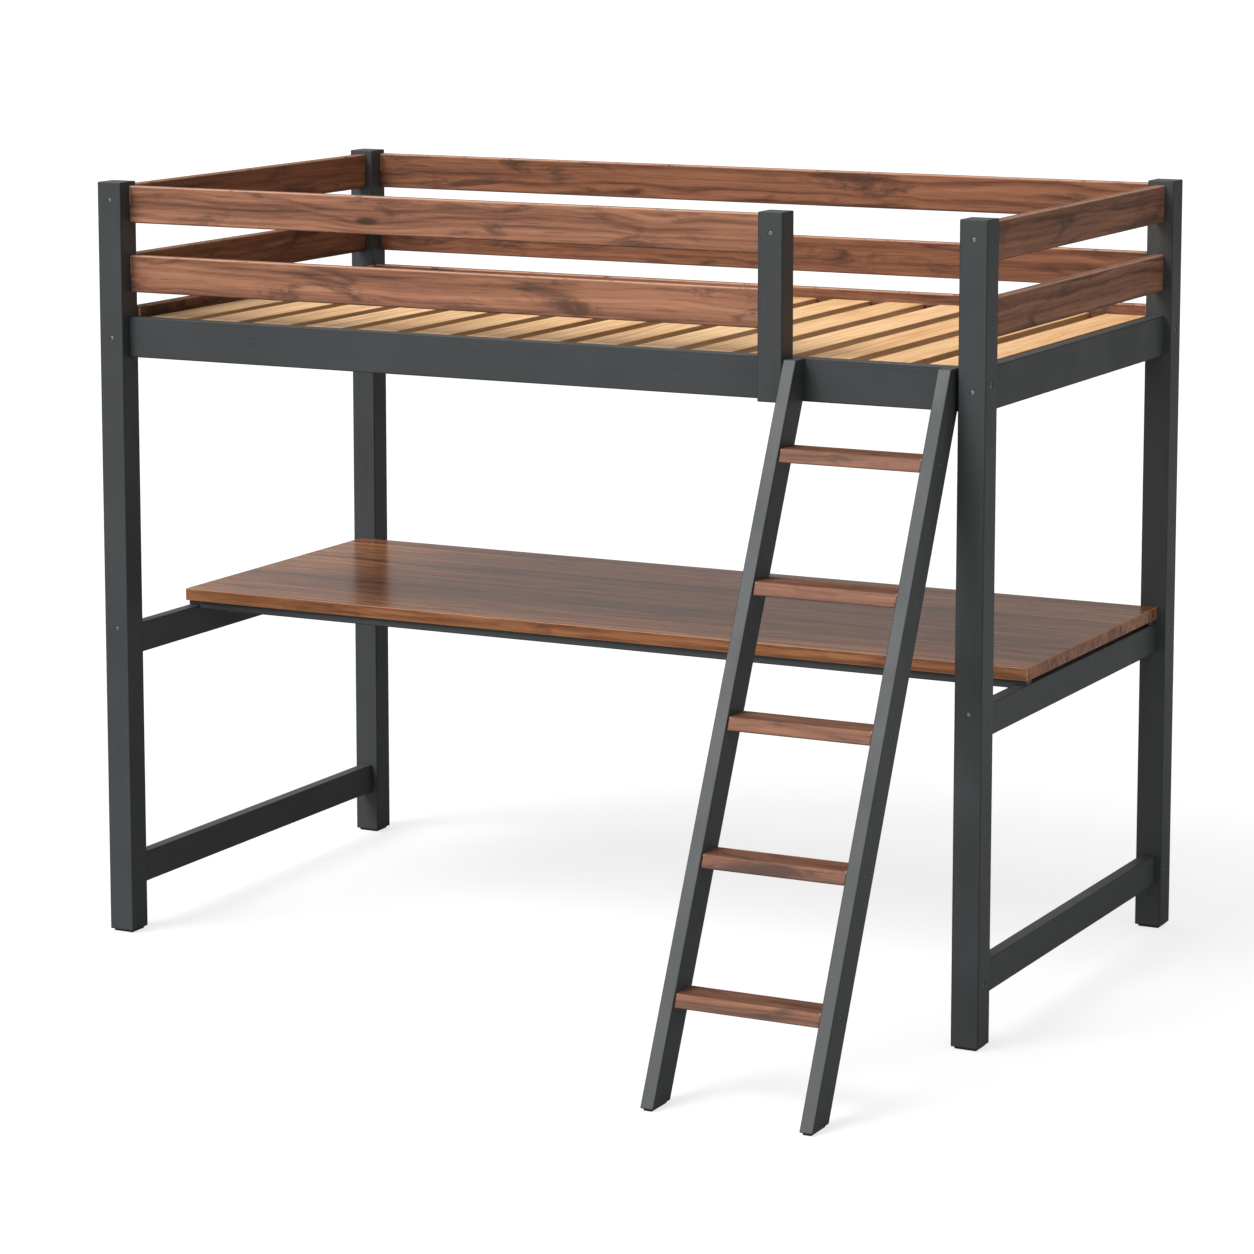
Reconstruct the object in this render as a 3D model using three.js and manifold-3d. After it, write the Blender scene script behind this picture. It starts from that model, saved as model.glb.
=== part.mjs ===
// Loft bed with a desk underneath: a painted post-and-rail frame with wooden guard boards,
// a slatted bed base, a full-width desk top and a fixed sloping ladder.
// Millimetres, +Z up, floor at z = 0. +X runs along the bed, the ladder stands on the -Y side.
import * as THREE from 'three';
import { mergeVertices } from 'three/addons/utils/BufferGeometryUtils.js';
import Module from 'manifold-3d';

const wasm = await Module();
wasm.setup();

// Overall size of the frame, measured over the posts.
const LENGTH = 2060;
const DEPTH = 1120;
const HEIGHT = 1655;

// Stock sections.
const POST = 59;
const GUARD_POST = 54;
const RAIL_THICK = 28;
const BOARD_THICK = 20;
const EASE = 1.5;
const CLEARANCE = 1;

// Feet.
const GLIDE_HEIGHT = 5;
const POST_GLIDE_INSET = 6;

// Heights of the horizontal members, as [bottom, top].
const BED_RAIL_Z = [1276, 1363];
const LOW_BOARD_Z = [1300, 1384];
const LOWER_GUARD_Z = [1416, 1496];
const UPPER_GUARD_Z = [1566, 1646];
const STRETCHER_Z = [99, 166];

// How far each member's outer face sits behind the posts' outer faces.
const SIDE_RAIL_SET_BACK = 23;
const SIDE_GUARD_SET_BACK = 32;
const REAR_SET_BACK = 2;
const END_RAIL_SET_BACK = 16;
const END_GUARD_SET_BACK = 20;
const DESK_RAIL_SET_BACK = 24;

// Slatted base.
const SLAT_COUNT = 15;
const SLAT_WIDTH = 92;
const SLAT_THICK = 18;
const SLAT_TOP = BED_RAIL_Z[1] - 3;
const SLAT_END_MARGIN = 16;
const CLEAT_WIDTH = 25;
const CLEAT_HEIGHT = 30;

// Desk.
const DESK_TOP = 722;
const DESK_THICK = 27;
const DESK_FRONT = 290;
const DESK_END_SET_BACK = 20;
const DESK_RAIL_HEIGHT = 66;
const BATTEN_HEIGHT = 18;
const BATTEN_LAP = 10;
const BATTEN_SET_BACK = 8;

// Ladder and its guard post.
const GUARD_POST_LEFT = 1580;
const GUARD_BOARD_LAP = 44;
const STRINGER_WIDTH = 28;
const STRINGER_DEPTH = 74;
const LADDER_FOOT_FRONT = -645;
const LADDER_TOP_FRONT = -17;
const RIGHT_STRINGER_GAP = 7;
const TREAD_COUNT = 5;
const FIRST_TREAD_TOP = 208;
const TREAD_RISE = 247;
const TREAD_THICK = 26;
const TREAD_DEPTH = 66;
const TREAD_SET_BACK = 4;
const LADDER_GLIDE_INSET = 5;

// Bolts.
const HEAD_SIDES = 20;
const SMALL_RECESS = { radius: 5, deep: 5 };
const LARGE_RECESS = { radius: 7, deep: 6 };
const BOLT_HEIGHT = 1326;
const BOLT_HEAD_RADIUS = 7;
const BOLT_HEAD_LENGTH = 5;
const BOLT_SHANK_RADIUS = 4;
const BOLT_SHANK_LENGTH = 48;
const BOLT_PLAY = 0.3;

// Faces that several members share.
const LEFT_INNER = POST;
const RIGHT_INNER = LENGTH - POST;
const REAR_INNER = DEPTH - POST;
const RAIL_BACK = SIDE_RAIL_SET_BACK + RAIL_THICK;
const REAR_RAIL_FRONT = DEPTH - REAR_SET_BACK - RAIL_THICK;
const LOW_BOARD_FRONT = REAR_RAIL_FRONT - BOARD_THICK;
const LEFT_RAIL_INNER = END_RAIL_SET_BACK + RAIL_THICK;
const RIGHT_RAIL_INNER = LENGTH - LEFT_RAIL_INNER;
const LOW_BOARD_INNER = LEFT_RAIL_INNER + BOARD_THICK;
const GUARD_POST_RIGHT = GUARD_POST_LEFT + GUARD_POST;
const DESK_UNDERSIDE = DESK_TOP - DESK_THICK;
const DESK_RAIL_TOP = DESK_UNDERSIDE - BATTEN_LAP;
const LADDER_LEAN = (LADDER_TOP_FRONT - LADDER_FOOT_FRONT) / (BED_RAIL_Z[1] - GLIDE_HEIGHT);
const LEFT_STRINGER_X = [GUARD_POST_RIGHT + CLEARANCE, GUARD_POST_RIGHT + CLEARANCE + STRINGER_WIDTH];
const RIGHT_STRINGER_X = [
  RIGHT_INNER - RIGHT_STRINGER_GAP - STRINGER_WIDTH,
  RIGHT_INNER - RIGHT_STRINGER_GAP,
];

// The row's origin is the middle of the footprint, ladder included.
const CENTRE_X = LENGTH / 2;
const CENTRE_Y = (DEPTH + LADDER_FOOT_FRONT) / 2;

const loftBed = new THREE.Group();
loftBed.position.set(-CENTRE_X, -CENTRE_Y, 0);

// Finishes.
const charcoalPaint = () => finish(0x4e5254, 0.45, 0.1);
const walnut = () => finish(0x966950, 0.55, 0);
const deskWalnut = () => finish(0x9a6a4c, 0.35, 0);
const paleSlat = () => finish(0xe6c391, 0.6, 0);
const blackPlastic = () => finish(0x16161a, 0.5, 0);
const darkSteel = () => finish(0x2c2d2f, 0.35, 0.9);

function finish(color, roughness, metalness) {
  return new THREE.MeshStandardMaterial({ color, roughness, metalness });
}

function place(name, geometry, material, x = 0, y = 0, z = 0) {
  const mesh = new THREE.Mesh(geometry, material);
  mesh.name = name;
  mesh.position.set(x, y, z);
  loftBed.add(mesh);
  return mesh;
}

// A rectangular section with its four long edges eased.
function easedSection(width, height, ease) {
  const w = width / 2;
  const h = height / 2;
  const section = new THREE.Shape();
  section.moveTo(-w + ease, -h);
  section.lineTo(w - ease, -h);
  section.lineTo(w, -h + ease);
  section.lineTo(w, h - ease);
  section.lineTo(w - ease, h);
  section.lineTo(-w + ease, h);
  section.lineTo(-w, h - ease);
  section.lineTo(-w, -h + ease);
  section.closePath();
  return section;
}

// A straight member between x, y and z spans, with its eased edges along its longest side.
function member(x, y, z, ease = EASE) {
  const size = [x[1] - x[0], y[1] - y[0], z[1] - z[0]];
  const long = size.indexOf(Math.max(...size));
  const across = (long + 1) % 3;
  const up = (long + 2) % 3;
  const section = easedSection(size[across], size[up], ease);
  const geometry = new THREE.ExtrudeGeometry(section, { depth: size[long], bevelEnabled: false });
  geometry.translate(0, 0, -size[long] / 2);
  const axes = [0, 1, 2].map((i) => new THREE.Vector3().setComponent(i, 1));
  geometry.applyMatrix4(new THREE.Matrix4().makeBasis(axes[across], axes[up], axes[long]));
  geometry.translate((x[0] + x[1]) / 2, (y[0] + y[1]) / 2, (z[0] + z[1]) / 2);
  return geometry;
}

// A closed outline in the y-z plane, drawn out along x.
function profile(outline, x) {
  const shape = new THREE.Shape(outline.map(([y, z]) => new THREE.Vector2(y, z)));
  const geometry = new THREE.ExtrudeGeometry(shape, { depth: x[1] - x[0], bevelEnabled: false });
  const toYZ = new THREE.Matrix4().makeBasis(
    new THREE.Vector3(0, 1, 0), new THREE.Vector3(0, 0, 1), new THREE.Vector3(1, 0, 0));
  geometry.applyMatrix4(toYZ);
  geometry.translate(x[0], 0, 0);
  return geometry;
}

function toSolid(geometry) {
  const bare = geometry.clone();
  bare.deleteAttribute('normal');
  bare.deleteAttribute('uv');
  const merged = mergeVertices(bare);
  return new wasm.Manifold(new wasm.Mesh({
    numProp: 3,
    vertProperties: new Float32Array(merged.attributes.position.array),
    triVerts: new Uint32Array(merged.index.array),
  }));
}

function toGeometry(solid) {
  const mesh = solid.getMesh();
  const geometry = new THREE.BufferGeometry();
  geometry.setAttribute('position', new THREE.BufferAttribute(mesh.vertProperties, 3));
  geometry.setIndex(new THREE.BufferAttribute(mesh.triVerts, 1));
  const faceted = geometry.toNonIndexed();
  faceted.computeVertexNormals();
  return faceted;
}

// A round tool whose axis starts at a point and runs along a direction.
function roundTool(radius, length, start, direction) {
  const geometry = new THREE.CylinderGeometry(radius, radius, length, HEAD_SIDES);
  geometry.translate(0, length / 2, 0);
  const turn = new THREE.Quaternion().setFromUnitVectors(new THREE.Vector3(0, 1, 0), direction);
  geometry.applyQuaternion(turn);
  geometry.translate(start.x, start.y, start.z);
  return geometry;
}

function drill(geometry, tools) {
  let solid = toSolid(geometry);
  for (const tool of tools) {
    solid = solid.subtract(toSolid(tool));
  }
  return toGeometry(solid);
}

// Flat-bottomed bolt recesses in a face: each hole is [x, y, z, size], bored along `inward`.
function recesses(holes, inward) {
  return holes.map(([x, y, z, size]) => {
    const start = new THREE.Vector3(x, y, z).addScaledVector(inward, -CLEARANCE);
    return roundTool(size.radius, size.deep + CLEARANCE, start, inward);
  });
}

const INTO_FRONT = new THREE.Vector3(0, 1, 0);
const INTO_REAR = new THREE.Vector3(0, -1, 0);
const INTO_LEFT = new THREE.Vector3(1, 0, 0);
const INTO_RIGHT = new THREE.Vector3(-1, 0, 0);

// Bolt heights on a post's end face (along x) and on its side face (along y).
const END_FACE_BOLTS = [
  [1613, SMALL_RECESS], [1462, SMALL_RECESS], [1331, LARGE_RECESS],
  [1284, SMALL_RECESS], [665, SMALL_RECESS], [132, SMALL_RECESS],
];
const SIDE_FACE_BOLTS = [[1616, SMALL_RECESS], [1318, SMALL_RECESS], [680, SMALL_RECESS]];

function cornerPost(name, x0, y0) {
  const atLeft = x0 === 0;
  const atFront = y0 === 0;
  const mid = POST / 2;
  const endX = atLeft ? 0 : LENGTH;
  const sideY = atFront ? 0 : DEPTH;
  const endHoles = END_FACE_BOLTS.map(([z, size]) => [endX, y0 + mid, z, size]);
  const sideHoles = SIDE_FACE_BOLTS.map(([z, size]) => [x0 + mid, sideY, z, size]);
  const tools = [
    ...recesses(endHoles, atLeft ? INTO_LEFT : INTO_RIGHT),
    ...recesses(sideHoles, atFront ? INTO_FRONT : INTO_REAR),
  ];
  const post = member([x0, x0 + POST], [y0, y0 + POST], [GLIDE_HEIGHT, HEIGHT]);
  place(name, drill(post, tools), charcoalPaint());
  const inset = POST_GLIDE_INSET;
  place(name.replace('post', 'glide'),
    member([x0 + inset, x0 + POST - inset], [y0 + inset, y0 + POST - inset], [0, GLIDE_HEIGHT]),
    blackPlastic());
}

// The guard post stands on the side rail's outside and is housed over its top edge.
function ladderGuardPost() {
  const back = SIDE_GUARD_SET_BACK;
  const front = back - GUARD_POST;
  const post = profile([
    [front, BED_RAIL_Z[0]],
    [SIDE_RAIL_SET_BACK, BED_RAIL_Z[0]],
    [SIDE_RAIL_SET_BACK, BED_RAIL_Z[1]],
    [back, BED_RAIL_Z[1]],
    [back, HEIGHT],
    [front, HEIGHT],
  ], [GUARD_POST_LEFT, GUARD_POST_RIGHT]);
  const height = END_FACE_BOLTS[0][0];
  const tools = [
    ...recesses([[GUARD_POST_LEFT + GUARD_POST / 2, front, height, SMALL_RECESS]], INTO_FRONT),
    ...recesses([[GUARD_POST_RIGHT, front + GUARD_POST / 2, height, SMALL_RECESS]], INTO_RIGHT),
  ];
  place('ladder_guard_post', drill(post, tools), charcoalPaint());
}

// The bolt that holds a stringer's head to the side rail, put in from inside the bed.
function ladderBoltParts(stringerX) {
  const x = (stringerX[0] + stringerX[1]) / 2;
  const seat = new THREE.Vector3(x, RAIL_BACK - BOLT_HEAD_LENGTH, BOLT_HEIGHT);
  const head = roundTool(BOLT_HEAD_RADIUS, BOLT_HEAD_LENGTH, seat, INTO_FRONT);
  const shank = roundTool(BOLT_SHANK_RADIUS, BOLT_SHANK_LENGTH + CLEARANCE,
    seat.clone().addScaledVector(INTO_FRONT, CLEARANCE), INTO_REAR);
  const headHole = roundTool(BOLT_HEAD_RADIUS + BOLT_PLAY, BOLT_HEAD_LENGTH + CLEARANCE, seat, INTO_FRONT);
  const shankHole = roundTool(BOLT_SHANK_RADIUS + BOLT_PLAY, BOLT_SHANK_LENGTH + CLEARANCE + BOLT_PLAY,
    seat.clone().addScaledVector(INTO_FRONT, CLEARANCE), INTO_REAR);
  return {
    bolt: toGeometry(toSolid(head).add(toSolid(shank))),
    holes: [headHole, shankHole],
  };
}

function railsAndStretchers(ladderBoltHoles) {
  const alongX = [LEFT_INNER, RIGHT_INNER];
  const alongY = [POST, REAR_INNER];
  const frontRail = member(alongX, [SIDE_RAIL_SET_BACK, RAIL_BACK], BED_RAIL_Z);
  place('front_side_rail', drill(frontRail, ladderBoltHoles), charcoalPaint());
  place('rear_side_rail', member(alongX, [REAR_RAIL_FRONT, REAR_RAIL_FRONT + RAIL_THICK], BED_RAIL_Z),
    charcoalPaint());
  const ends = [
    ['end_rail', END_RAIL_SET_BACK, BED_RAIL_Z],
    ['low_stretcher', END_RAIL_SET_BACK, STRETCHER_Z],
    ['desk_rail', DESK_RAIL_SET_BACK, [DESK_RAIL_TOP - DESK_RAIL_HEIGHT, DESK_RAIL_TOP]],
  ];
  for (const [kind, setBack, z] of ends) {
    place(`left_${kind}`, member([setBack, setBack + RAIL_THICK], alongY, z), charcoalPaint());
    place(`right_${kind}`, member([LENGTH - setBack - RAIL_THICK, LENGTH - setBack], alongY, z),
      charcoalPaint());
  }
}

function guardBoards() {
  const levels = [['upper', UPPER_GUARD_Z], ['lower', LOWER_GUARD_Z]];
  const alongY = [POST, REAR_INNER];
  const frontY = [SIDE_GUARD_SET_BACK, SIDE_GUARD_SET_BACK + BOARD_THICK];
  const rearY = [DEPTH - REAR_SET_BACK - BOARD_THICK, DEPTH - REAR_SET_BACK];
  const leftX = [END_GUARD_SET_BACK, END_GUARD_SET_BACK + BOARD_THICK];
  const rightX = [LENGTH - leftX[1], LENGTH - leftX[0]];
  for (const [level, z] of levels) {
    place(`front_${level}_guard`, member([LEFT_INNER, GUARD_POST_LEFT + GUARD_BOARD_LAP], frontY, z), walnut());
    place(`rear_${level}_guard`, member([LEFT_INNER, RIGHT_INNER], rearY, z), walnut());
    place(`left_${level}_guard`, member(leftX, alongY, z), walnut());
    place(`right_${level}_guard`, member(rightX, alongY, z), walnut());
  }
  place('rear_low_board',
    member([LEFT_INNER, RIGHT_INNER], [LOW_BOARD_FRONT, REAR_RAIL_FRONT], LOW_BOARD_Z), walnut());
  place('left_low_board',
    member([LEFT_RAIL_INNER, LOW_BOARD_INNER], alongY, LOW_BOARD_Z), walnut());
}

function slattedBase() {
  const underside = SLAT_TOP - SLAT_THICK;
  const cleatX = [LOW_BOARD_INNER, RIGHT_INNER];
  const cleatZ = [underside - CLEAT_HEIGHT, underside];
  place('front_slat_cleat', member(cleatX, [RAIL_BACK, RAIL_BACK + CLEAT_WIDTH], cleatZ), paleSlat());
  place('rear_slat_cleat', member(cleatX, [LOW_BOARD_FRONT - CLEAT_WIDTH, LOW_BOARD_FRONT], cleatZ),
    paleSlat());
  const first = LOW_BOARD_INNER + SLAT_END_MARGIN;
  const last = RIGHT_RAIL_INNER - SLAT_END_MARGIN - SLAT_WIDTH;
  for (let i = 0; i < SLAT_COUNT; i += 1) {
    const x = THREE.MathUtils.lerp(first, last, i / (SLAT_COUNT - 1));
    const name = `slat_${String(i + 1).padStart(2, '0')}`;
    place(name, member([x, x + SLAT_WIDTH], [RAIL_BACK + CLEARANCE, LOW_BOARD_FRONT - CLEARANCE],
      [underside, SLAT_TOP]), paleSlat());
  }
}

// A batten carries the desk top, its ends lapped over the desk rails.
function deskBatten(name, y) {
  const outer = DESK_RAIL_SET_BACK;
  const inner = DESK_RAIL_SET_BACK + RAIL_THICK;
  const bottom = DESK_UNDERSIDE - BATTEN_HEIGHT;
  const shape = new THREE.Shape([
    [outer, DESK_RAIL_TOP], [inner, DESK_RAIL_TOP], [inner, bottom],
    [LENGTH - inner, bottom], [LENGTH - inner, DESK_RAIL_TOP], [LENGTH - outer, DESK_RAIL_TOP],
    [LENGTH - outer, DESK_UNDERSIDE], [outer, DESK_UNDERSIDE],
  ].map(([x, z]) => new THREE.Vector2(x, z)));
  const geometry = new THREE.ExtrudeGeometry(shape, { depth: RAIL_THICK, bevelEnabled: false });
  geometry.rotateX(Math.PI / 2);
  geometry.translate(0, y + RAIL_THICK, 0);
  place(name, geometry, charcoalPaint());
}

function desk() {
  const slabX = [DESK_END_SET_BACK, LENGTH - DESK_END_SET_BACK];
  place('desk_top', member(slabX, [DESK_FRONT, REAR_INNER], [DESK_UNDERSIDE, DESK_TOP]), deskWalnut());
  deskBatten('desk_front_batten', DESK_FRONT + BATTEN_SET_BACK);
  deskBatten('desk_rear_batten', REAR_INNER - BATTEN_SET_BACK - RAIL_THICK);
}

// The sloping front line of the ladder: y at a given height.
function ladderFront(z) {
  return LADDER_FOOT_FRONT + LADDER_LEAN * (z - GLIDE_HEIGHT);
}

// A stringer is cut level at the floor and at the rail's top, and upright against the rail.
function stringer(name, x, tools) {
  const bearingBottom = GLIDE_HEIGHT
    + (SIDE_RAIL_SET_BACK - LADDER_FOOT_FRONT - STRINGER_DEPTH) / LADDER_LEAN;
  const outline = [
    [LADDER_FOOT_FRONT, GLIDE_HEIGHT],
    [LADDER_FOOT_FRONT + STRINGER_DEPTH, GLIDE_HEIGHT],
    [SIDE_RAIL_SET_BACK, bearingBottom],
    [SIDE_RAIL_SET_BACK, BED_RAIL_Z[1]],
    [LADDER_TOP_FRONT, BED_RAIL_Z[1]],
  ];
  place(name, drill(profile(outline, x), tools), charcoalPaint());
  const inset = LADDER_GLIDE_INSET;
  place(name.replace('stringer', 'glide'),
    member([x[0] + inset, x[1] - inset],
      [LADDER_FOOT_FRONT + inset, LADDER_FOOT_FRONT + STRINGER_DEPTH - inset], [0, GLIDE_HEIGHT]),
    blackPlastic());
}

// Tread bolts show on the right stringer's outer face, one to a tread.
function treadBoltRecesses(x) {
  const holes = [];
  for (let i = 0; i < TREAD_COUNT; i += 1) {
    const z = FIRST_TREAD_TOP + i * TREAD_RISE - TREAD_THICK / 2;
    holes.push([x, ladderFront(z) + STRINGER_DEPTH / 2, z, SMALL_RECESS]);
  }
  return recesses(holes, INTO_RIGHT);
}

function ladder() {
  const left = ladderBoltParts(LEFT_STRINGER_X);
  const right = ladderBoltParts(RIGHT_STRINGER_X);
  stringer('left_ladder_stringer', LEFT_STRINGER_X, left.holes);
  stringer('right_ladder_stringer', RIGHT_STRINGER_X,
    [...right.holes, ...treadBoltRecesses(RIGHT_STRINGER_X[1])]);
  place('left_ladder_bolt', left.bolt, darkSteel());
  place('right_ladder_bolt', right.bolt, darkSteel());
  const treadX = [LEFT_STRINGER_X[1], RIGHT_STRINGER_X[0]];
  for (let i = 0; i < TREAD_COUNT; i += 1) {
    const top = FIRST_TREAD_TOP + i * TREAD_RISE;
    const bottom = top - TREAD_THICK;
    const topFront = ladderFront(top) + TREAD_SET_BACK;
    const bottomFront = ladderFront(bottom) + TREAD_SET_BACK;
    const outline = [
      [bottomFront, bottom], [bottomFront + TREAD_DEPTH, bottom],
      [topFront + TREAD_DEPTH, top], [topFront, top],
    ];
    place(`ladder_tread_${i + 1}`, profile(outline, treadX), walnut());
  }
  return [...left.holes, ...right.holes];
}

cornerPost('front_left_post', 0, 0);
cornerPost('front_right_post', RIGHT_INNER, 0);
cornerPost('rear_left_post', 0, REAR_INNER);
cornerPost('rear_right_post', RIGHT_INNER, REAR_INNER);
ladderGuardPost();
const ladderBoltHoles = ladder();
railsAndStretchers(ladderBoltHoles);
guardBoards();
slattedBase();
desk();

export default loftBed;
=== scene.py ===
import math
import random

import bmesh
import bpy
from mathutils import Matrix, Vector


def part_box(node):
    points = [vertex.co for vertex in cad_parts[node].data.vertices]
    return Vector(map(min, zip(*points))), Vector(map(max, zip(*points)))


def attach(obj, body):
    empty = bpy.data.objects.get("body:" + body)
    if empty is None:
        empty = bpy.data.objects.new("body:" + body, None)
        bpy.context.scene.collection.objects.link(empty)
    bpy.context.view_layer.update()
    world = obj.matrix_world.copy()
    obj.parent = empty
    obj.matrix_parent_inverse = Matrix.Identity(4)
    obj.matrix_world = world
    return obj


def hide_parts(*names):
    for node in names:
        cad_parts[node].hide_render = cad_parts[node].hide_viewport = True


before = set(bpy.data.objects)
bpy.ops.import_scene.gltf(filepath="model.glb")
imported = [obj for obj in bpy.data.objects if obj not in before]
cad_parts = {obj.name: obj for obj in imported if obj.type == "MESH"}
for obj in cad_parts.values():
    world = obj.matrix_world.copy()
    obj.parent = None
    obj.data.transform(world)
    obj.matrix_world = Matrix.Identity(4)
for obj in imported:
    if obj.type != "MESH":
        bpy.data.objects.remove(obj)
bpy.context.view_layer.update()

# Metres, in the CAD row's frame: +X along the bed, -Y towards the ladder, +Z up.
MM = 0.001
BODY = "root"

# Edge rounding by kind of member.
POST_EASE = 2.2 * MM
RAIL_EASE = 2.0 * MM
BOARD_EASE = 2.4 * MM
SLAT_EASE = 2.0 * MM
DESK_EASE = 1.6 * MM
TREAD_EASE = 2.8 * MM
GLIDE_EASE = 1.2 * MM
EASE_STEPS = 3

# Meshes: what counts as one point, one plane, a sharp edge and a crease, and how much
# more a large face counts than a small one in smooth shading.
WELD = 0.01 * MM
FLAT_WITHIN = math.radians(1)
SHARP_OVER = math.radians(15)
CREASE_OVER = math.radians(40)
FACE_WEIGHT = 90

# Each member's grain starts somewhere of its own, up to this many metres away.
GRAIN_SEED = 41
GRAIN_SHIFT = 40

# Tone and painted shade, 0 dark to 1 light: the boards' values are painted shade by side, palest on the
# front boards that face the light and darkest at the left end.
# The treads' value is their own darker tone. At 0 a member's colours are multiplied by DARKEST.
BOARD_PAINTED_SHADE = {"front": 1.0, "right": 0.45, "rear": 0.25, "left": 0.0}
TREAD_TONE = 0.1
DARKEST = (0.6, 0.56, 0.52, 1)
STAVE_WIDTH = 82 * MM

# Socket-head bolts sit in flat-bottomed recesses.
BOLT_SIDES = 24
HEAD_PLAY = 0.5 * MM
HEAD_BELOW_FACE = 1.2 * MM
SOCKET_SHARE = 0.5
SOCKET_DEPTH = 2.4 * MM
RECESS_RIM = 0.6 * MM
RECESS_DEPTHS = (2 * MM, 8 * MM)
RECESS_SPREAD = 20 * MM
SQUARE_TO_AXIS = 0.999

# Camera, lights and floor. Lens and sensor are in millimetres, the fill light's power in watts.
CAMERA_AT = Vector((4.0119, -7.6175, 2.3629))
CAMERA_YAW = math.radians(27.015)
CAMERA_PITCH = math.radians(8.133)
LENS = 118.46
SENSOR = 36
SHIFT_Y = -0.15
FARTHEST_SEEN = 300
KEY_FROM = Vector((-0.55, -0.9, 1.15))
KEY_STRENGTH = 3.2
KEY_SPREAD = math.radians(32)
SKY_TOWARDS = Vector((-0.62, -0.74, 0.3)).normalized()
SKY_DIM, SKY_BRIGHT = 0.22, 1.03
SKY_EDGES = (-0.9, 0.9)
FILL_AT = Vector((2.5, 0.2, 0.4))
FILL_TOWARDS = Vector((0.9, 0.0, 0.4))
FILL_SIZE = 1.6
FILL_POWER = 9
FLOOR_GLOW = 0.72
FLOOR_REACH = 120.0
FLOOR_CELLS = 8
FLOOR_GREYS = (0.235, 0.25)
WHITE = (1, 1, 1, 1)


# ---------------------------------------------------------------- meshes

def block(lo, hi):
    """A plain box between two corners, ready to be eased."""
    bm = bmesh.new()
    bmesh.ops.create_cube(bm, size=1.0)
    size = hi - lo
    for v in bm.verts:
        v.co = Vector([lo[i] + (v.co[i] + 0.5) * size[i] for i in range(3)])
    return bm


def corners(node):
    """A CAD node's lowest and highest corners."""
    return [Vector(corner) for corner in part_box(node)]


def node_block(node):
    return block(*corners(node))


def welded(node):
    """A CAD node's own shape, welded, with its coplanar triangles joined."""
    bm = bmesh.new()
    bm.from_mesh(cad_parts[node].data)
    bmesh.ops.remove_doubles(bm, verts=bm.verts, dist=WELD)
    bmesh.ops.dissolve_limit(bm, angle_limit=FLAT_WITHIN, verts=bm.verts, edges=bm.edges)
    return bm


def hull(node):
    """The convex outside of a CAD node, without its bolt recesses."""
    bm = bmesh.new()
    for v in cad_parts[node].data.vertices:
        bm.verts.new(v.co)
    bmesh.ops.remove_doubles(bm, verts=bm.verts, dist=WELD)
    found = bmesh.ops.convex_hull(bm, input=bm.verts)
    inside = found["geom_interior"] + found["geom_unused"]
    spare = {e for e in inside if isinstance(e, bmesh.types.BMVert)}
    bmesh.ops.delete(bm, geom=list(spare), context="VERTS")
    bmesh.ops.dissolve_limit(bm, angle_limit=FLAT_WITHIN, verts=bm.verts, edges=bm.edges)
    return bm


def outline_block(points, x0, x1):
    """A closed outline of (y, z) points, drawn out from x0 to x1."""
    bm = bmesh.new()
    ends = [[bm.verts.new((x, y, z)) for y, z in points] for x in (x0, x1)]
    count = len(points)
    bm.faces.new(reversed(ends[0]))
    bm.faces.new(ends[1])
    for i in range(count):
        j = (i + 1) % count
        bm.faces.new((ends[0][i], ends[0][j], ends[1][j], ends[1][i]))
    bmesh.ops.recalc_face_normals(bm, faces=bm.faces)
    return bm


def ease(bm, width):
    """Rounds every sharp edge."""
    sharp = [e for e in bm.edges if e.calc_face_angle(0) > SHARP_OVER]
    bmesh.ops.bevel(bm, geom=sharp, offset=width, offset_type="OFFSET", segments=EASE_STEPS,
                    profile=0.5, affect="EDGES", clamp_overlap=True)
    return bm


def to_object(name, bm):
    mesh = bpy.data.meshes.new(name)
    bm.to_mesh(mesh)
    bm.free()
    obj = bpy.data.objects.new(name, mesh)
    bpy.context.scene.collection.objects.link(obj)
    return obj


def settle(obj):
    """Turns an object's modifiers into plain mesh."""
    graph = bpy.context.evaluated_depsgraph_get()
    mesh = bpy.data.meshes.new_from_object(obj.evaluated_get(graph))
    obj.modifiers.clear()
    obj.data = mesh


def smooth(obj):
    """Flat faces stay flat and rounded edges run smooth."""
    for face in obj.data.polygons:
        face.use_smooth = True
    weighted = obj.modifiers.new("weighted_normals", "WEIGHTED_NORMAL")
    weighted.weight = FACE_WEIGHT


def turned(bm, rings, place):
    """A closed shape round its own Z: rings of (radius or radius function, height)."""
    loops = []
    for radius, height in rings:
        loop = []
        for i in range(BOLT_SIDES):
            turn = 2 * math.pi * i / BOLT_SIDES
            r = radius(turn) if callable(radius) else radius
            point = Vector((r * math.cos(turn), r * math.sin(turn), height))
            loop.append(bm.verts.new(place @ point))
        loops.append(loop)
    for low, high in zip(loops, loops[1:]):
        for i in range(BOLT_SIDES):
            j = (i + 1) % BOLT_SIDES
            bm.faces.new((low[i], low[j], high[j], high[i]))
    bm.faces.new(reversed(loops[0]))
    bm.faces.new(loops[-1])


# ---------------------------------------------------------------- grain coordinates

rng = random.Random(GRAIN_SEED)
X, Y, Z = (Vector(unit) for unit in ((1, 0, 0), (0, 1, 0), (0, 0, 1)))


def principal_axes(node):
    """Axes of a straight member: along it, across its face, and through its thickness."""
    lo, hi = corners(node)
    size = hi - lo
    order = sorted(range(3), key=lambda i: -size[i])
    return [(X, Y, Z)[i] for i in order]


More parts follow.
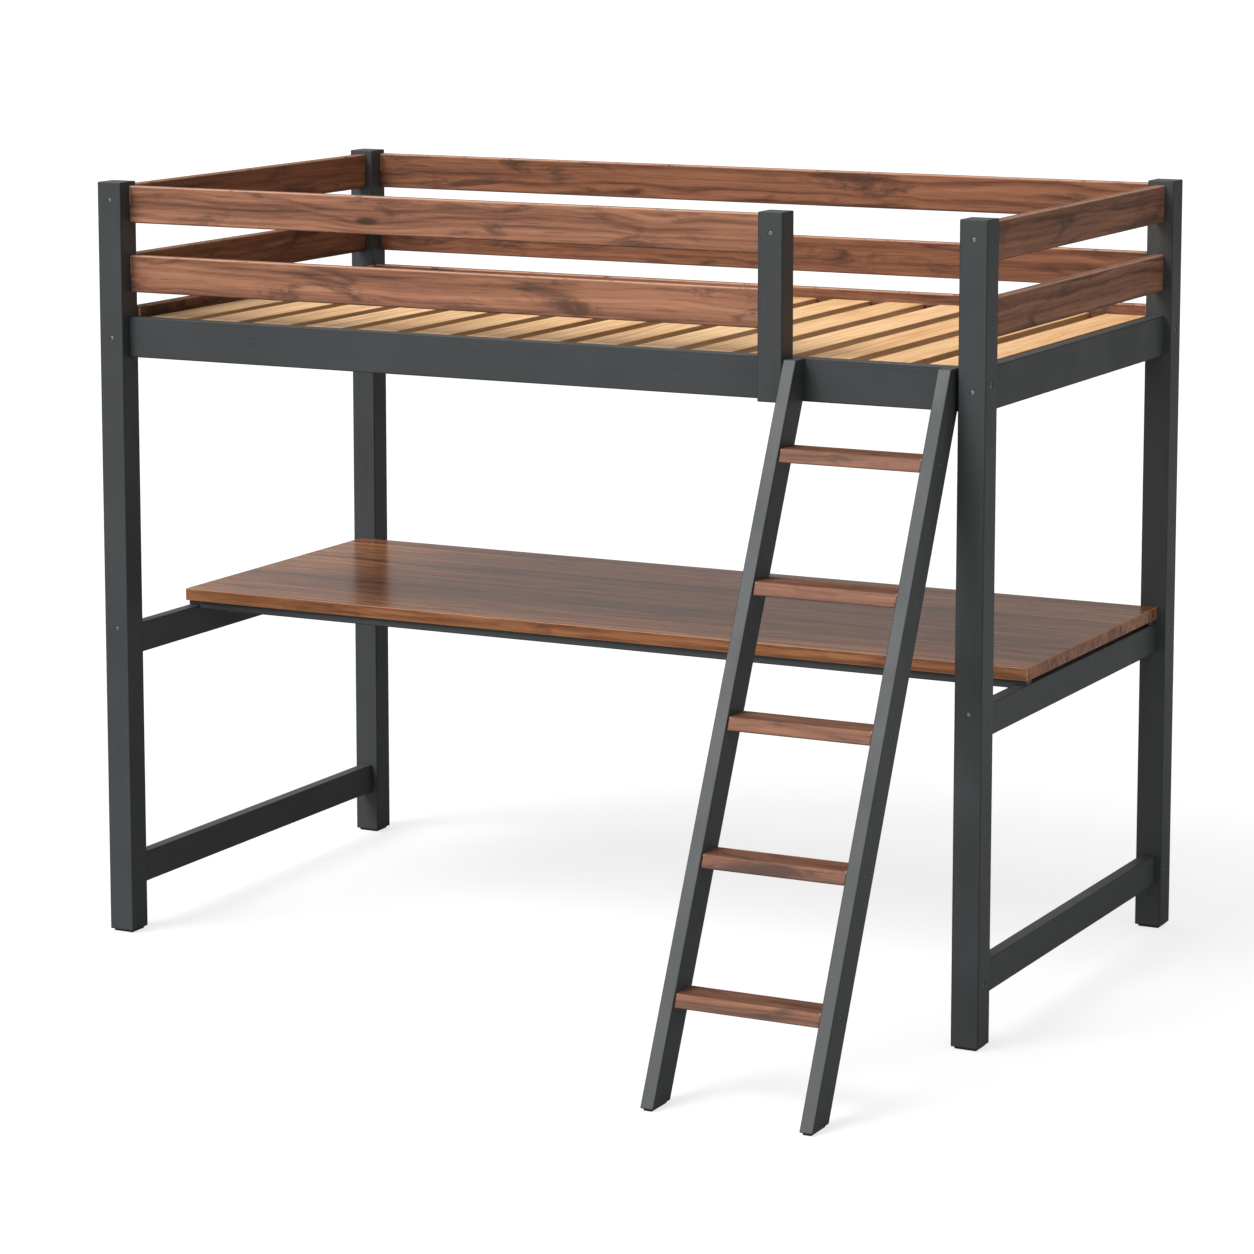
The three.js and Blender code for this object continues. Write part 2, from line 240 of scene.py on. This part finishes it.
def mark_grain(obj, axes, tone_and_shade=None):
    """Stores each point's place in its own member, the member's half size, and its tone; on the boards
    this value is their painted shade by side.
    """
    rows = Matrix(axes)
    local = [rows @ v.co for v in obj.data.vertices]
    low = Vector([min(p[i] for p in local) for i in range(3)])
    high = Vector([max(p[i] for p in local) for i in range(3)])
    middle = (low + high) / 2
    half = (high - low) / 2
    shift = Vector([rng.uniform(0, GRAIN_SHIFT) for _ in range(3)])
    own_tone = rng.random()
    tone_and_shade = own_tone if tone_and_shade is None else tone_and_shade
    store(obj.data, "board", "FLOAT_VECTOR", "vector", [p - middle for p in local])
    store(obj.data, "grain", "FLOAT_VECTOR", "vector", [p - middle + shift for p in local])
    store(obj.data, "half", "FLOAT_VECTOR", "vector", [half] * len(local))
    store(obj.data, "tone_and_shade", "FLOAT", "value", [tone_and_shade] * len(local))


def store(mesh, name, kind, field, values):
    """Writes one value for each point as a named attribute."""
    layer = mesh.attributes.new(name, kind, "POINT")
    flat = [c for v in values for c in v] if kind == "FLOAT_VECTOR" else values
    layer.data.foreach_set(field, flat)


# ---------------------------------------------------------------- materials

class Graph:
    """Short calls for building one material's nodes."""

    def __init__(self, name):
        self.material = bpy.data.materials.new(name)
        self.material.use_nodes = True
        self.tree = self.material.node_tree
        self.tree.nodes.clear()
        self.shader = self.tree.nodes.new("ShaderNodeBsdfPrincipled")
        output = self.tree.nodes.new("ShaderNodeOutputMaterial")
        self.tree.links.new(self.shader.outputs[0], output.inputs[0])

    def put(self, socket, value):
        """Links a socket, or sets a plain value."""
        if isinstance(value, bpy.types.NodeSocket):
            self.tree.links.new(value, socket)
        elif value is not None:
            socket.default_value = value

    def attribute(self, name, output="Vector"):
        node = self.tree.nodes.new("ShaderNodeAttribute")
        node.attribute_name = name
        return node.outputs[output]

    def math(self, operation, a, b=None):
        node = self.tree.nodes.new("ShaderNodeMath")
        node.operation = operation
        self.put(node.inputs[0], a)
        self.put(node.inputs[1], b)
        return node.outputs[0]

    def times(self, a, b):
        return self.math("MULTIPLY", a, b)

    def plus(self, a, b):
        return self.math("ADD", a, b)

    def vector(self, operation, a, b=None):
        node = self.tree.nodes.new("ShaderNodeVectorMath")
        node.operation = operation
        self.put(node.inputs[0], a)
        self.put(node.inputs[1], b)
        return node.outputs["Vector"]

    def split(self, vector):
        node = self.tree.nodes.new("ShaderNodeSeparateXYZ")
        self.put(node.inputs[0], vector)
        return node.outputs

    def join(self, x, y, z):
        node = self.tree.nodes.new("ShaderNodeCombineXYZ")
        for socket, value in zip(node.inputs, (x, y, z)):
            self.put(socket, value)
        return node.outputs[0]

    def noise(self, vector, scale=1.0, detail=2.0, roughness=0.5, distortion=0.0):
        node = self.tree.nodes.new("ShaderNodeTexNoise")
        self.put(node.inputs["Vector"], vector)
        self.put(node.inputs["Scale"], scale)
        self.put(node.inputs["Detail"], detail)
        self.put(node.inputs["Roughness"], roughness)
        self.put(node.inputs["Distortion"], distortion)
        return node.outputs["Fac"]

    def stretched(self, vector, along, across, through, **settings):
        """Noise with its own frequency, per metre, along each board axis."""
        return self.noise(self.vector("MULTIPLY", vector, (along, across, through)), 1.0, **settings)

    def cells(self, vector):
        """Distance to the nearest of many scattered points."""
        node = self.tree.nodes.new("ShaderNodeTexVoronoi")
        self.put(node.inputs["Vector"], vector)
        self.put(node.inputs["Scale"], 1.0)
        return node.outputs["Distance"]

    def span(self, value, low, high, to_low=0.0, to_high=1.0):
        """Runs smoothly from to_low to to_high while the value goes from low to high."""
        node = self.tree.nodes.new("ShaderNodeMapRange")
        node.interpolation_type = "SMOOTHSTEP"
        for socket, given in zip(node.inputs[:5], (value, low, high, to_low, to_high)):
            self.put(socket, given)
        return node.outputs[0]

    def mix(self, share, a, b, blend="MIX"):
        node = self.tree.nodes.new("ShaderNodeMix")
        node.data_type = "RGBA"
        node.blend_type = blend
        self.put(node.inputs[0], share)
        self.put(node.inputs[6], a)
        self.put(node.inputs[7], b)
        return node.outputs[2]

    def ramp(self, value, stops):
        node = self.tree.nodes.new("ShaderNodeValToRGB")
        self.put(node.inputs[0], value)
        points = node.color_ramp.elements
        for point, (place, color) in zip(points, (stops[0], stops[-1])):
            point.position = place
            point.color = color
        for place, color in stops[1:-1]:
            points.new(place).color = color
        return node.outputs[0]

    def bump(self, height, distance, strength=1.0, normal=None):
        node = self.tree.nodes.new("ShaderNodeBump")
        self.put(node.inputs["Strength"], strength)
        self.put(node.inputs["Distance"], distance)
        self.put(node.inputs["Height"], height)
        self.put(node.inputs["Normal"], normal)
        return node.outputs[0]

    def set(self, **inputs):
        for name, value in inputs.items():
            self.put(self.shader.inputs[name.replace("_", " ")], value)

    def from_side(self):
        """Metres from a point to the nearer of the two faces that end a member's second axis."""
        across = self.split(self.attribute("board"))[1]
        return self.math("SUBTRACT", self.split(self.attribute("half"))[1], self.math("ABSOLUTE", across))

    def edge_distance(self):
        """Metres from a point on a member's surface to its nearest edge."""
        place = self.vector("ABSOLUTE", self.attribute("board"))
        x, y, z = self.split(self.vector("SUBTRACT", self.attribute("half"), place))
        nearer = self.math("MINIMUM", x, y)
        farther = self.math("MAXIMUM", x, y)
        return self.math("MAXIMUM", nearer, self.math("MINIMUM", farther, z))


def rgb(r, g, b):
    """An sRGB colour, 0 to 255, as a linear one."""
    def linear(v):
        v /= 255
        return v / 12.92 if v <= 0.04045 else ((v + 0.055) / 1.055) ** 2.4
    return (linear(r), linear(g), linear(b), 1.0)


def charcoal_paint():
    """Brushed satin paint, with painted shade in a band along the edges, and paler at their very tips in
    patches: wear and a painted highlight.
    """
    g = Graph("charcoal_paint")
    grain = g.attribute("grain")
    cloud = g.noise(grain, 5.0, detail=4, roughness=0.6)
    brushed = g.stretched(grain, 3, 160, 160, detail=5, roughness=0.65)
    base = g.mix(cloud, rgb(49, 51, 52), rgb(61, 64, 65))
    base = g.mix(g.span(brushed, 0.35, 0.75, 0, 0.18), base, rgb(70, 74, 76))
    edge = g.edge_distance()
    patchy = g.span(g.noise(grain, 38.0, detail=5, roughness=0.7), 0.42, 0.62)
    # Painted shade: a dark band along every edge.
    base = g.mix(g.span(edge, 1.4 * MM, 3.4 * MM, 0.6, 0), base, rgb(30, 32, 33))
    # The pale tips are edge wear and a painted highlight.
    worn_and_highlit = g.times(g.span(edge, 0.2 * MM, 1 * MM, 1, 0), patchy)
    base = g.mix(g.times(worn_and_highlit, 0.5), base, rgb(98, 102, 104))
    rough = g.span(cloud, 0.3, 0.7, 0.36, 0.5)
    rough = g.plus(rough, g.times(brushed, 0.08))
    peel = g.noise(grain, 700.0, detail=2, roughness=0.5)
    normal = g.bump(brushed, 0.2 * MM, 0.4)
    normal = g.bump(peel, 0.12 * MM, 0.35, normal)
    g.set(Base_Color=base, Roughness=rough, Normal=normal)
    g.shader.inputs["Specular IOR Level"].default_value = 0.32
    return g.material


def walnut_figure(g, grain, knotty):
    """Growth lines along the member, bent by slow drifts and turned aside by knots, with
    streaks, fibres, flecks, smudges and the knots themselves."""
    x, y, z = g.split(grain)
    drift = g.stretched(grain, 1.6, 5, 5, detail=3, roughness=0.55)
    sway = g.stretched(grain, 5.5, 16, 16, detail=3, roughness=0.5)
    eye = g.cells(g.vector("MULTIPLY", grain, (2.1, 7.5, 7.5)))
    across = g.plus(y, g.times(drift, 0.07))
    across = g.plus(across, g.times(sway, 0.01))
    across = g.plus(across, g.span(eye, 0.0, 0.34, 0.02 * knotty, 0.0))
    depth = g.plus(z, g.times(drift, 0.03))
    rings = g.join(g.times(x, 0.35), g.times(across, 62), g.times(depth, 46))
    ringed = g.noise(rings, detail=3, roughness=0.62)
    streak = g.stretched(grain, 4, 85, 85, detail=6, roughness=0.68, distortion=0.4)
    fibre = g.stretched(grain, 26, 900, 900, detail=3, roughness=0.6)
    flecks = g.span(g.stretched(grain, 9, 210, 210, detail=3, roughness=0.6), 0.6, 0.72)
    cloudy = g.stretched(grain, 4.5, 20, 20, detail=6, roughness=0.66, distortion=0.8)
    smudge = g.span(cloudy, 0.5, 0.68)
    knot = g.times(g.span(eye, 0.03, 0.085, 1, 0), knotty)
    return ringed, streak, fibre, flecks, smudge, knot


def walnut_colour(g, figure, marks, colours, strengths):
    """Ring colour with its dark marks laid over it, each as strong as given."""
    light, middle, dark, deep = colours
    fibre, flecks, smudge, knot = marks
    fibre_strength, fleck_strength, smudge_strength, knot_strength = strengths
    base = g.ramp(figure, [(0.34, deep), (0.43, dark), (0.52, middle), (0.66, light)])
    base = g.mix(g.times(smudge, smudge_strength), base, deep)
    base = g.mix(g.span(fibre, 0.3, 0.7, 0.0, fibre_strength), base, dark)
    base = g.mix(g.times(flecks, fleck_strength), base, deep)
    return g.mix(g.times(knot, knot_strength), base, rgb(44, 27, 20))


def board_walnut():
    """Oiled boards with painted light: painted shade by side and on the faces on top and underneath, a
    painted highlight on the upper arrises and painted shade on the lower ones.
    """
    g = Graph("walnut")
    grain = g.attribute("grain")
    tone_and_shade = g.attribute("tone_and_shade", "Fac")
    ringed, streak, fibre, flecks, smudge, knot = walnut_figure(g, grain, 1.0)
    figure = g.plus(g.times(ringed, 0.6), g.times(streak, 0.4))
    colours = rgb(176, 124, 96), rgb(148, 101, 77), rgb(118, 78, 59), rgb(68, 49, 43)
    base = walnut_colour(g, figure, (fibre, flecks, smudge, knot), colours, (0.2, 0.55, 0.85, 0.8))
    # Multiplies the colours towards DARKEST: painted shade by side on the boards, the treads' own darker
    # tone on the treads.
    base = g.mix(1.0, base, g.mix(tone_and_shade, DARKEST, WHITE), "MULTIPLY")
    # Painted shade on the faces on top and underneath, where the upper boards shade the lower ones' tops.
    top_and_bottom_shade = g.span(g.from_side(), 0.2 * MM, 1 * MM, 1, 0)
    deep = colours[3]
    base = g.mix(g.times(top_and_bottom_shade, 0.3), base, deep)
    # A painted highlight along the upper arrises and painted shade along the lower ones, broken up in
    # patches.
    patchy = g.span(g.noise(grain, 30.0, detail=5, roughness=0.7), 0.25, 0.5)
    arris = g.times(g.span(g.edge_distance(), 1 * MM, 5 * MM, 1, 0), patchy)
    upper = g.span(g.split(g.attribute("board"))[1], -2 * MM, 2 * MM)
    base = g.mix(g.times(g.times(arris, upper), 0.7), base, rgb(200, 154, 126))
    lower = g.math("SUBTRACT", 1.0, upper)
    base = g.mix(g.times(g.times(arris, lower), 0.6), base, deep)
    rough = g.plus(0.46, g.times(streak, 0.14))
    normal = g.bump(fibre, 0.18 * MM, 0.6)
    normal = g.bump(ringed, 0.6 * MM, 0.35, normal)
    g.set(Base_Color=base, Roughness=rough, Normal=normal)
    g.shader.inputs["Specular IOR Level"].default_value = 0.2
    return g.material


def desk_walnut():
    """The desk's long staves: each has its own shift and tone, under a semi-gloss lacquer."""
    g = Graph("desk_walnut")
    grain = g.attribute("grain")
    staves = g.math("DIVIDE", g.split(g.attribute("board"))[1], STAVE_WIDTH)
    stave = g.math("FLOOR", staves)
    pick = g.tree.nodes.new("ShaderNodeTexWhiteNoise")
    pick.noise_dimensions = "1D"
    g.put(pick.inputs["W"], stave)
    own = pick.outputs["Value"]
    shift = g.join(g.times(own, 9.0), g.times(own, 3.0), own)
    shifted = g.vector("ADD", grain, shift)
    ringed, streak, fibre, flecks, smudge, knot = walnut_figure(g, shifted, 0.5)
    figure = g.plus(g.times(ringed, 0.5), g.times(streak, 0.5))
    figure = g.plus(figure, g.times(g.math("SUBTRACT", own, 0.5), 0.1))
    colours = rgb(168, 116, 78), rgb(138, 90, 59), rgb(108, 68, 44), rgb(68, 43, 30)
    base = walnut_colour(g, figure, (fibre, flecks, smudge, knot), colours, (0.2, 0.4, 0.5, 0.6))
    from_middle = g.math("ABSOLUTE", g.math("SUBTRACT", g.math("FRACT", staves), 0.5))
    joint = g.span(from_middle, 0.492, 0.499)
    deep = colours[3]
    base = g.mix(g.times(joint, 0.4), base, deep)
    # A pale band along every edge: wear and a painted highlight.
    worn_and_highlit = g.span(g.edge_distance(), 0.4 * MM, 2.4 * MM, 1, 0)
    base = g.mix(g.times(worn_and_highlit, 0.45), base, rgb(196, 148, 112))
    rough = g.plus(0.18, g.times(streak, 0.1))
    normal = g.bump(fibre, 0.06 * MM, 0.35)
    g.set(Base_Color=base, Roughness=rough, Normal=normal)
    g.shader.inputs["Specular IOR Level"].default_value = 0.18
    return g.material


def pale_slat():
    """Plain sawn softwood, with painted shade on the narrow faces, where the neighbouring slats shade
    them.
    """
    g = Graph("pale_slat")
    grain = g.attribute("grain")
    tone_and_shade = g.attribute("tone_and_shade", "Fac")
    drift = g.stretched(grain, 1.4, 6, 6, detail=2)
    x, y, z = g.split(grain)
    across = g.plus(y, g.times(drift, 0.08))
    rings = g.join(g.times(x, 0.5), g.times(across, 95), g.times(z, 60))
    ringed = g.noise(rings, detail=3, roughness=0.6)
    streak = g.stretched(grain, 5, 120, 120, detail=5, roughness=0.65)
    fibre = g.stretched(grain, 25, 950, 950, detail=3)
    patch = g.noise(grain, 7.0, detail=3)
    figure = g.plus(g.times(ringed, 0.5), g.times(streak, 0.5))
    figure = g.plus(figure, g.times(g.math("SUBTRACT", tone_and_shade, 0.5), 0.08))
    dark, middle, light = rgb(184, 130, 78), rgb(216, 170, 118), rgb(238, 203, 156)
    base = g.ramp(figure, [(0.33, dark), (0.46, middle), (0.62, light)])
    base = g.mix(g.span(patch, 0.52, 0.75, 0, 0.35), base, rgb(196, 132, 72))
    base = g.mix(g.span(fibre, 0.3, 0.7, 0, 0.15), base, rgb(170, 112, 60))
    # Painted shade on the narrow faces.
    base = g.mix(g.span(g.from_side(), 0.2 * MM, 1.4 * MM, 0.55, 0), base, rgb(136, 92, 48))
    rough = g.plus(0.5, g.times(streak, 0.15))
    normal = g.bump(fibre, 0.15 * MM, 0.5)
    g.set(Base_Color=base, Roughness=rough, Normal=normal)
    return g.material


def black_plastic():
    """Finely speckled moulded plastic."""
    g = Graph("black_plastic")
    where = g.attribute("grain")
    speckle = g.noise(where, 900.0, detail=2)
    base = g.mix(g.noise(where, 60.0, detail=3), rgb(20, 20, 22), rgb(34, 34, 36))
    rough = g.span(speckle, 0.3, 0.7, 0.45, 0.62)
    g.set(Base_Color=base, Roughness=rough, Normal=g.bump(speckle, 0.1 * MM, 0.4))
    return g.material


def bolt_steel():
    """Scuffed zinc-plated steel."""
    g = Graph("bolt_steel")
    where = g.attribute("grain")
    scuff = g.noise(where, 500.0, detail=4, roughness=0.7)
    base = g.mix(g.span(scuff, 0.4, 0.7), rgb(128, 130, 132), rgb(188, 190, 192))
    rough = g.span(scuff, 0.3, 0.7, 0.28, 0.48)
    g.set(Base_Color=base, Roughness=rough, Normal=g.bump(scuff, 0.05 * MM, 0.4))
    g.shader.inputs["Metallic"].default_value = 0.9
    return g.material


MATERIALS = {
    "charcoal_paint": charcoal_paint(),
    "walnut": board_walnut(),
    "desk_walnut": desk_walnut(),
    "slat_wood": pale_slat(),
    "glide_plastic": black_plastic(),
    "bolt_steel": bolt_steel(),
}


# ---------------------------------------------------------------- bolts

def recess_floors(node):
    """The bolt recesses in a CAD node, as (centre on the face, outward direction, radius, depth)."""
    lo, hi = corners(node)
    bm = welded(node)
    groups = []
    for face in bm.faces:
        axis = max(range(3), key=lambda i: abs(face.normal[i]))
        if abs(face.normal[axis]) < SQUARE_TO_AXIS:
            continue
        outward = Vector([math.copysign(1, face.normal[axis]) if i == axis else 0.0 for i in range(3)])
        surface = hi[axis] if outward[axis] > 0 else lo[axis]
        points = [v.co.copy() for v in face.verts]
        depth = (surface - points[0][axis]) * outward[axis]
        if not RECESS_DEPTHS[0] < depth < RECESS_DEPTHS[1]:
            continue
        for same_way, _, found in groups:
            if same_way == outward and (found[0] - points[0]).length < RECESS_SPREAD:
                found.extend(points)
                break
        else:
            groups.append((outward, depth, points))
    bm.free()
    floors = []
    for outward, depth, points in groups:
        low = Vector([min(p[i] for p in points) for i in range(3)])
        high = Vector([max(p[i] for p in points) for i in range(3)])
        centre = (low + high) / 2 + outward * depth
        floors.append((centre, outward, max(high - low) / 2, depth))
    return floors


def standing(point, direction):
    """A placement with local +Z along a direction."""
    return Matrix.Translation(point) @ direction.to_track_quat("Z", "Y").to_matrix().to_4x4()


def cut_recesses(obj, floors):
    """Cuts each recess, with a small chamfer round its mouth."""
    cutter_mesh = bmesh.new()
    for centre, outward, radius, depth in floors:
        rings = [
            (radius, -depth), (radius, -RECESS_RIM),
            (radius + RECESS_RIM, 0.0), (radius + 2 * RECESS_RIM, RECESS_RIM),
        ]
        turned(cutter_mesh, rings, standing(centre, outward))
    bmesh.ops.recalc_face_normals(cutter_mesh, faces=cutter_mesh.faces)
    cutter = to_object("recess_cutter", cutter_mesh)
    cut = obj.modifiers.new("recesses", "BOOLEAN")
    cut.operation = "DIFFERENCE"
    cut.solver = "EXACT"
    cut.object = cutter
    settle(obj)
    bpy.data.objects.remove(cutter)


def bolt_head(bm, centre, outward, radius, depth):
    """A socket head: rounded rim, a hexagonal socket, and a floor inside it."""
    head = radius - HEAD_PLAY
    top = -HEAD_BELOW_FACE
    flat = head * SOCKET_SHARE

    def hexagon(turn):
        return flat / math.cos((turn % (math.pi / 3)) - math.pi / 6)

    rings = [
        (head * 0.97, -depth), (head, -depth + 0.3 * MM), (head, top - 0.9 * MM),
        (head * 0.96, top - 0.3 * MM), (head * 0.86, top), (lambda t: hexagon(t) * 1.08, top),
        (hexagon, top - 0.25 * MM), (hexagon, top - SOCKET_DEPTH),
        (lambda t: hexagon(t) * 0.3, top - SOCKET_DEPTH - 0.3 * MM),
    ]
    turned(bm, rings, standing(centre, outward))


def fit_bolts(node, floors):
    """One piece holding the bolt heads of all of a member's recesses."""
    bm = bmesh.new()
    for recess in floors:
        bolt_head(bm, *recess)
    bolts = to_object(f"{node}_bolts", bm)
    mark_grain(bolts, [X, Y, Z])
    bolts.data.materials.append(MATERIALS["bolt_steel"])
    smooth_by_angle(bolts)
    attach(bolts, BODY)
    return bolts


def smooth_by_angle(obj):
    """Shades smoothly except across creases."""
    bm = bmesh.new()
    bm.from_mesh(obj.data)
    bmesh.ops.recalc_face_normals(bm, faces=bm.faces)
    for face in bm.faces:
        face.smooth = True
    for edge in bm.edges:
        edge.smooth = edge.calc_face_angle(0) < CREASE_OVER
    bm.to_mesh(obj.data)
    bm.free()


# ---------------------------------------------------------------- the members

def finish_piece(node, bm, width, slot, axes=None, bolted=False, tone_and_shade=None):
    """Eases a member, cuts and fills its bolt recesses, and attaches it to the body."""
    piece = to_object(f"{node}_finished", ease(bm, width))
    floors = recess_floors(node) if bolted else []
    if floors:
        cut_recesses(piece, floors)
    mark_grain(piece, axes or principal_axes(node), tone_and_shade)
    piece.data.materials.clear()
    piece.data.materials.append(MATERIALS[slot])
    smooth(piece)
    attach(piece, BODY)
    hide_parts(node)
    return fit_bolts(node, floors) if floors else None


def posts():
    for end in ("left", "right"):
        for side in ("front", "rear"):
            node = f"{side}_{end}_post"
            finish_piece(node, node_block(node), POST_EASE, "charcoal_paint", bolted=True)
            glide = f"{side}_{end}_glide"
            finish_piece(glide, node_block(glide), GLIDE_EASE, "glide_plastic")


def guard_post():
    """Let in over the side rail, so its lower back is cut away."""
    node = "ladder_guard_post"
    lo, hi = corners(node)
    rail_lo, rail_hi = corners("front_side_rail")
    outline = [
        (lo.y, lo.z), (rail_lo.y, lo.z), (rail_lo.y, rail_hi.z),
        (hi.y, rail_hi.z), (hi.y, hi.z), (lo.y, hi.z),
    ]
    finish_piece(node, outline_block(outline, lo.x, hi.x), POST_EASE, "charcoal_paint", bolted=True)


def rails():
    """The front side rail's recesses hold the bolts that reach through it into the ladder."""
    front, rear = "front_side_rail", "rear_side_rail"
    ladder_bolts = finish_piece(front, node_block(front), RAIL_EASE, "charcoal_paint", bolted=True)
    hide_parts("left_ladder_bolt", "right_ladder_bolt")
    finish_piece(rear, node_block(rear), RAIL_EASE, "charcoal_paint")
    for end in ("left", "right"):
        for kind in ("end_rail", "desk_rail", "low_stretcher"):
            node = f"{end}_{kind}"
            finish_piece(node, node_block(node), RAIL_EASE, "charcoal_paint")
    for side in ("front", "rear"):
        node = f"desk_{side}_batten"
        finish_piece(node, welded(node), RAIL_EASE, "charcoal_paint")


def boards():
    for node in sorted(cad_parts):
        if node.endswith("_guard") or node.endswith("_low_board"):
            # The boards' value is painted shade by side, not a tone of their own.
            tone_and_shade = BOARD_PAINTED_SHADE[node.split("_")[0]]
            finish_piece(node, node_block(node), BOARD_EASE, "walnut", tone_and_shade=tone_and_shade)


def slats():
    for node in sorted(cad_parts):
        if node.startswith("slat_") or node.endswith("_slat_cleat"):
            finish_piece(node, node_block(node), SLAT_EASE, "slat_wood")


def desk():
    finish_piece("desk_top", node_block("desk_top"), DESK_EASE, "desk_walnut")


def ladder():
    """Stringers follow the ladder's slope, so their grain does too."""
    low_tread = corners("ladder_tread_1")[0]
    high_tread = corners("ladder_tread_5")[0]
    slope = Vector((0, high_tread.y - low_tread.y, high_tread.z - low_tread.z)).normalized()
    across = Vector((0, slope.z, -slope.y))
    for end in ("left", "right"):
        node = f"{end}_ladder_stringer"
        finish_piece(node, hull(node), RAIL_EASE, "charcoal_paint",
                     axes=[slope, across, X], bolted=end == "right")
        glide = f"{end}_ladder_glide"
        finish_piece(glide, node_block(glide), GLIDE_EASE, "glide_plastic")
    for node in sorted(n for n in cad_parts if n.startswith("ladder_tread_")):
        finish_piece(node, welded(node), TREAD_EASE, "walnut", axes=[X, Z, Y], tone_and_shade=TREAD_TONE)


posts()
guard_post()
rails()
boards()
slats()
desk()
ladder()


# ---------------------------------------------------------------- floor, lights, camera

def floor():
    """A pale floor that glows a little where it is looked at, so that it meets the white background."""
    bm = bmesh.new()
    bmesh.ops.create_grid(bm, x_segments=FLOOR_CELLS, y_segments=FLOOR_CELLS, size=FLOOR_REACH)
    ground = to_object("studio_floor", bm)
    g = Graph("studio_floor")
    place = g.tree.nodes.new("ShaderNodeTexCoord").outputs["Object"]
    mottle = g.noise(place, 1.5, detail=3)
    darker, lighter = ((grey, grey, grey, 1) for grey in FLOOR_GREYS)
    g.set(Base_Color=g.mix(mottle, darker, lighter), Roughness=g.span(mottle, 0.3, 0.7, 0.7, 0.8))
    g.shader.inputs["Emission Color"].default_value = WHITE
    seen = g.tree.nodes.new("ShaderNodeLightPath").outputs["Is Camera Ray"]
    g.put(g.shader.inputs["Emission Strength"], g.times(seen, FLOOR_GLOW))
    ground.data.materials.append(g.material)


def key_light():
    """A broad sun from the front left."""
    data = bpy.data.lights.new("key", "SUN")
    data.energy = KEY_STRENGTH
    data.angle = KEY_SPREAD
    light = bpy.data.objects.new("key", data)
    light.rotation_mode = "QUATERNION"
    light.rotation_quaternion = (-KEY_FROM).to_track_quat("-Z", "Y")
    bpy.context.scene.collection.objects.link(light)


def fill_light():
    """Lifts the faces at the right end, which the key light doesn't reach."""
    data = bpy.data.lights.new("fill", "AREA")
    data.size = FILL_SIZE
    data.energy = FILL_POWER
    light = bpy.data.objects.new("fill", data)
    light.location = FILL_AT
    light.rotation_mode = "QUATERNION"
    light.rotation_quaternion = (FILL_TOWARDS - FILL_AT).to_track_quat("-Z", "Y")
    light.visible_camera = False
    bpy.context.scene.collection.objects.link(light)


def sky():
    """White where it is looked at, and as a light bright at the front left and dim at the rear right."""
    world = bpy.data.worlds.new("studio")
    bpy.context.scene.world = world
    world.use_nodes = True
    tree = world.node_tree
    tree.nodes.clear()
    place = tree.nodes.new("ShaderNodeTexCoord")
    facing = tree.nodes.new("ShaderNodeVectorMath")
    facing.operation = "DOT_PRODUCT"
    facing.inputs[1].default_value = SKY_TOWARDS
    tree.links.new(place.outputs["Generated"], facing.inputs[0])
    side = tree.nodes.new("ShaderNodeMapRange")
    side.interpolation_type = "SMOOTHSTEP"
    for socket, value in zip(side.inputs[1:5], (*SKY_EDGES, SKY_DIM, SKY_BRIGHT)):
        socket.default_value = value
    tree.links.new(facing.outputs["Value"], side.inputs[0])
    seen = tree.nodes.new("ShaderNodeLightPath")
    strength = tree.nodes.new("ShaderNodeMix")
    strength.data_type = "FLOAT"
    tree.links.new(seen.outputs["Is Camera Ray"], strength.inputs[0])
    tree.links.new(side.outputs[0], strength.inputs[2])
    strength.inputs[3].default_value = 1.0
    back = tree.nodes.new("ShaderNodeBackground")
    back.inputs["Color"].default_value = WHITE
    tree.links.new(strength.outputs[0], back.inputs["Strength"])
    output = tree.nodes.new("ShaderNodeOutputWorld")
    tree.links.new(back.outputs[0], output.inputs[0])


def camera():
    data = bpy.data.cameras.new("camera")
    data.lens = LENS
    data.sensor_width = SENSOR
    data.shift_y = SHIFT_Y
    data.clip_end = FARTHEST_SEEN
    eye = bpy.data.objects.new("camera", data)
    eye.location = CAMERA_AT
    eye.rotation_euler = (math.pi / 2 - CAMERA_PITCH, 0, CAMERA_YAW)
    bpy.context.scene.collection.objects.link(eye)
    bpy.context.scene.camera = eye


floor()
sky()
key_light()
fill_light()
camera()
bpy.context.scene.view_settings.view_transform = "Standard"
